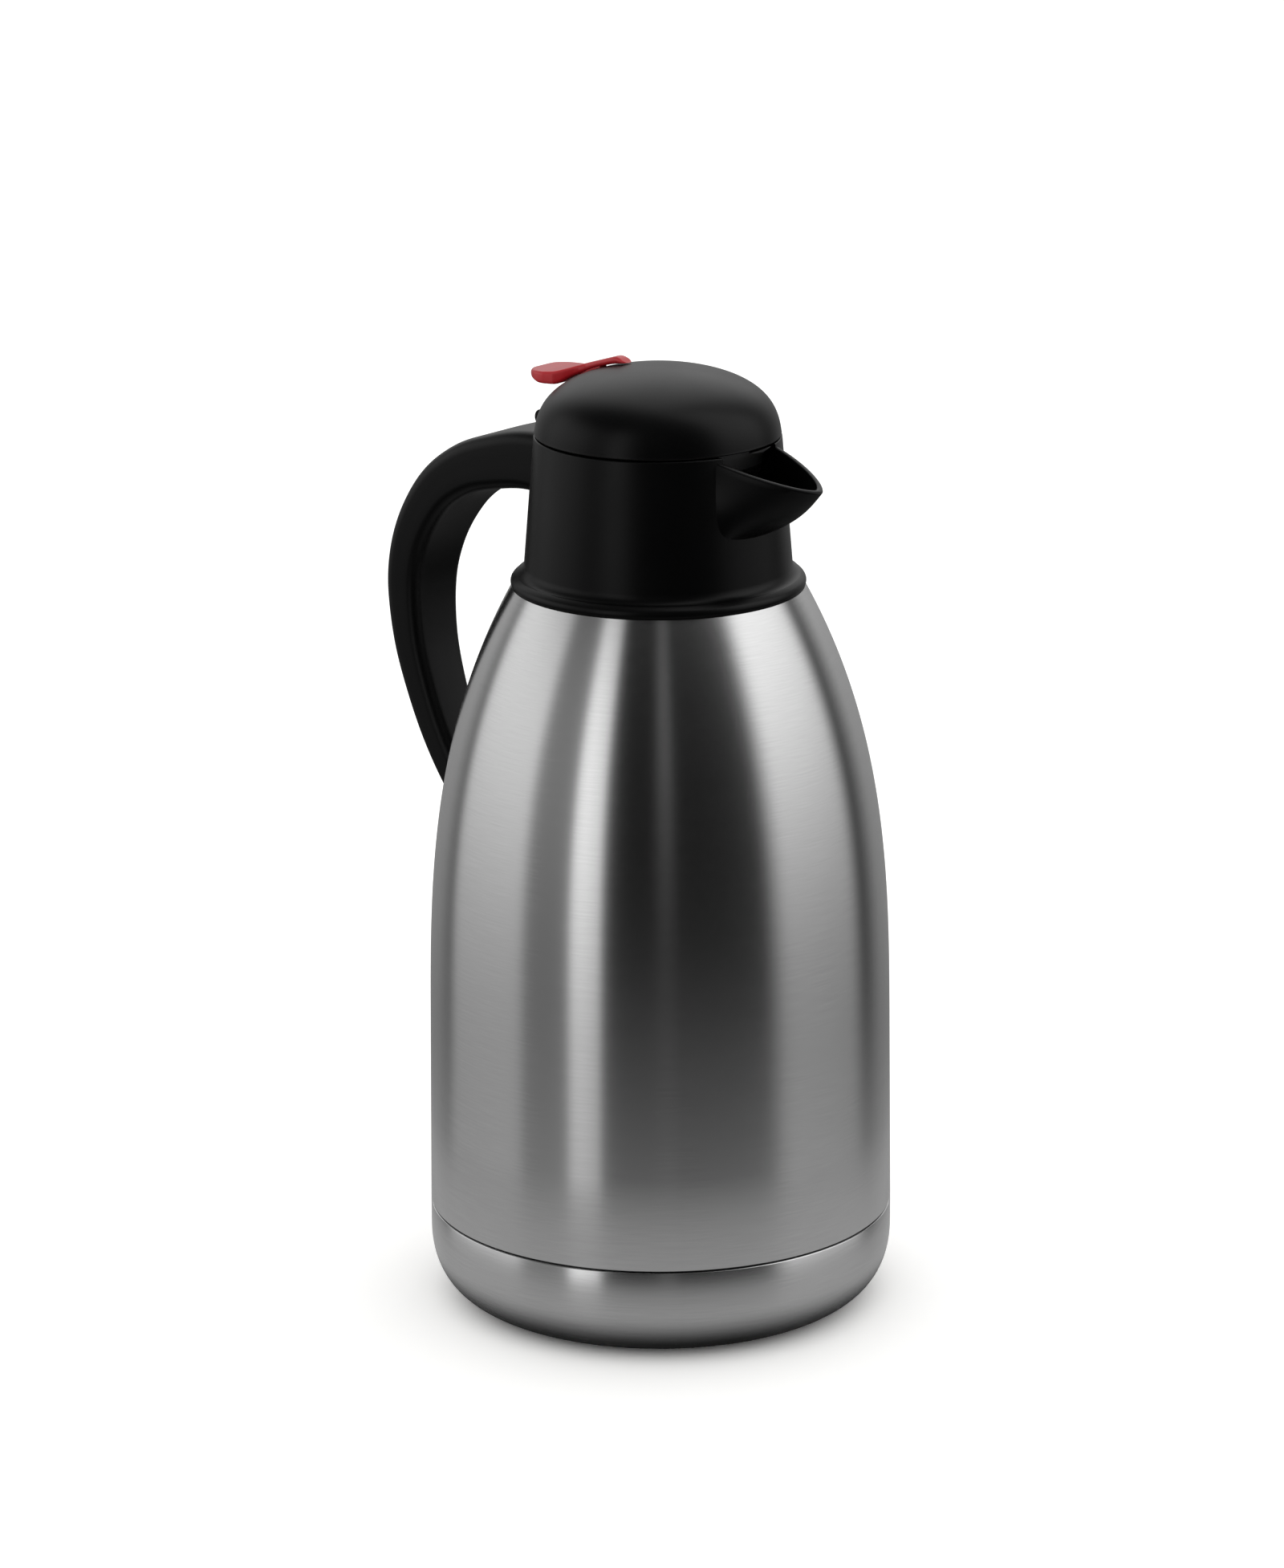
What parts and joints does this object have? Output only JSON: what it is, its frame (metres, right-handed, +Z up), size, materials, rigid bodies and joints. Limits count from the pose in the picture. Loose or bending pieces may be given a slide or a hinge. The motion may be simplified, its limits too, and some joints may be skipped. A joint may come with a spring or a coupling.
{
  "type": "thermal carafe",
  "caption": "Insulated jug with a rounded double-walled metal body, a moulded collar with a pouring spout, an arched side handle, and a domed flip lid with a thumb lever.",
  "frame": {"origin": "centre of the base's rest plane, on the body's axis", "axes": "+Z up along the body's axis, +X towards the spout, -X towards the handle"},
  "size_m": [0.177, 0.145, 0.298],
  "materials": {
    "body_steel": "circumferentially brushed",
    "plain_steel": "plain",
    "seal_metal": "dull",
    "black_plastic": "fine satin texture",
    "inner_plastic": "satin",
    "red_plastic": "satin gloss",
    "silicone": "matt, translucent white",
    "fastener_steel": "bright"
  },
  "bodies": {
    "vessel": {"outer_shell": "body_steel", "shell_bottom": "plain_steel", "vacuum_seal": "seal_metal", "inner_flask": "plain_steel", "flask_bottom": "plain_steel", "getter": "seal_metal", "base_cap": "body_steel", "neck_gasket": "silicone", "pour_collar": "black_plastic", "collar_screws": "fastener_steel", "handle": "black_plastic", "handle_bracket": "plain_steel", "handle_screw": "fastener_steel", "hinge_pin": "fastener_steel"},
    "lid": {"lid_dome": "black_plastic", "lid_deck": "inner_plastic", "lid_screws": "fastener_steel", "plug_cup": "inner_plastic", "plug_seal": "silicone", "lever_pin": "fastener_steel"},
    "lever": {"thumb_lever": "red_plastic"},
    "valve": {"valve_stem": "fastener_steel", "valve_disc": "silicone", "valve_nut": "fastener_steel", "stem_clip": "fastener_steel", "valve_spring": "fastener_steel"}
  },
  "joints": [
    {"name": "lid_hinge", "type": "hinge", "parent": "vessel", "child": "lid", "pos_m": [-0.0414, 0, 0.276], "axis": [0, -1, 0], "range_deg": [0, 65]},
    {"name": "lever_press", "type": "hinge", "parent": "lid", "child": "lever", "pos_m": [-0.026, 0, 0.2845], "axis": [0, -1, 0], "range_deg": [0, 9]},
    {"name": "valve_lift", "type": "slide", "parent": "lid", "child": "valve", "axis": [0, 0, 1], "range_m": [0, 0.00408], "stiffness_N_per_m": 400, "springref_m": -0.0008, "deforming": ["valve_spring"]}
  ],
  "couplings": [
    {"joint": "lever_press", "follows": "valve_lift", "rad_per_m": 38.46}
  ]
}
